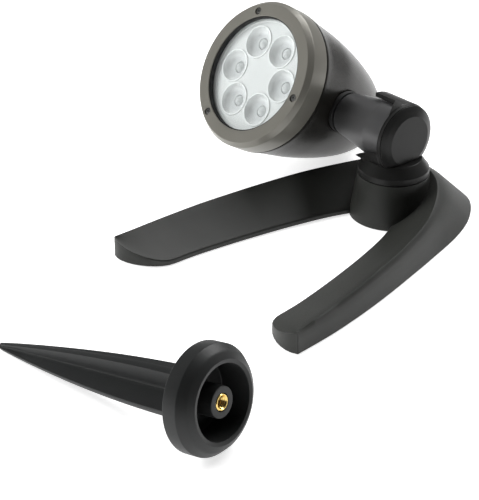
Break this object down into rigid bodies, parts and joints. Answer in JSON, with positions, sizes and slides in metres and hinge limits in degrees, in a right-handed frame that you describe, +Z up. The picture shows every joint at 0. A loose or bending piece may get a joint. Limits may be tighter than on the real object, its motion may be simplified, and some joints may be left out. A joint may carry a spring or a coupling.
{
  "type": "adjustable spotlight with stand and ground stake",
  "caption": "Bullet-shaped LED spotlight, side-mounted by a tilting arm on a swivel collar over a V-shaped stand, with a separate flanged ground stake.",
  "frame": {"origin": "on the swivel axis at the underside of the stand's rubber pad, which is the ground", "axes": "+Z up along the swivel axis; the legs of the V open towards -Y and the lamp shines that way; the lamp hangs on the -X side"},
  "size_m": [0.229, 0.3115, 0.1026],
  "materials": {
    "pewter_paint": "warm pewter grey powder coat, satin",
    "bronze_paint": "dark bronze paint, satin",
    "charcoal_paint": "charcoal powder coat, fine matt",
    "black_plastic": "moulded black, matt",
    "rubber": "matt black",
    "clear_glass": "clear flat glass",
    "lens_acrylic": "clear moulded acrylic",
    "white_plastic": "white satin",
    "steel": "zinc plated",
    "brass": "turned, bright",
    "aluminium": "bare cast",
    "circuit_board": "green solder mask",
    "led_phosphor": "yellow phosphor"
  },
  "bodies": {
    "stand": {"base_stand": "charcoal_paint", "base_pad": "rubber", "swivel_bolt": "steel", "swivel_spring_washer": "steel", "swivel_washer": "steel", "swivel_friction_ring": "rubber"},
    "yoke": {"swivel_yoke": "charcoal_paint", "swivel_nut": "brass", "hinge_cap": "charcoal_paint", "tilt_washer": "steel", "tilt_bolt": "steel"},
    "lamp": {"tilt_arm": "charcoal_paint", "tilt_friction_disc": "rubber", "tilt_insert": "brass", "arm_gasket": "rubber", "arm_lock_nut": "steel", "housing": "bronze_paint", "bezel_ring": "pewter_paint", "bezel_screw_1": "steel", "bezel_screw_2": "steel", "bezel_screw_3": "steel", "front_glass": "clear_glass", "glass_gasket": "rubber", "bezel_o_ring": "rubber", "optic_plate": "white_plastic", "optic_lens_1": "lens_acrylic", "optic_lens_2": "lens_acrylic", "optic_lens_3": "lens_acrylic", "optic_lens_4": "lens_acrylic", "optic_lens_5": "lens_acrylic", "optic_lens_6": "lens_acrylic", "led_chip_1": "led_phosphor", "led_chip_2": "led_phosphor", "led_chip_3": "led_phosphor", "led_chip_4": "led_phosphor", "led_chip_5": "led_phosphor", "led_chip_6": "led_phosphor", "led_board": "circuit_board", "heat_sink": "aluminium", "driver_board": "circuit_board", "driver_transformer": "black_plastic", "driver_capacitor": "black_plastic", "driver_choke": "steel", "driver_post_1": "brass", "driver_post_2": "brass", "cable_gland": "black_plastic", "gland_nut": "black_plastic"},
    "stake": {"ground_stake": "black_plastic", "stake_insert": "brass"}
  },
  "joints": [
    {"name": "swivel", "type": "hinge", "parent": "stand", "child": "yoke", "pos_m": [0, 0, 0.0266], "axis": [0, 0, 1], "range_deg": [-180, 4]},
    {"name": "tilt", "type": "hinge", "parent": "yoke", "child": "lamp", "pos_m": [0, 0, 0.0474], "axis": [-0.9969, 0.0785, 0], "range_deg": [-31, 5]},
    {"name": "stake_lift", "type": "slide", "parent": "stand", "child": "stake", "axis": [0, 0, 1], "range_m": [0, 0.12]}
  ]
}
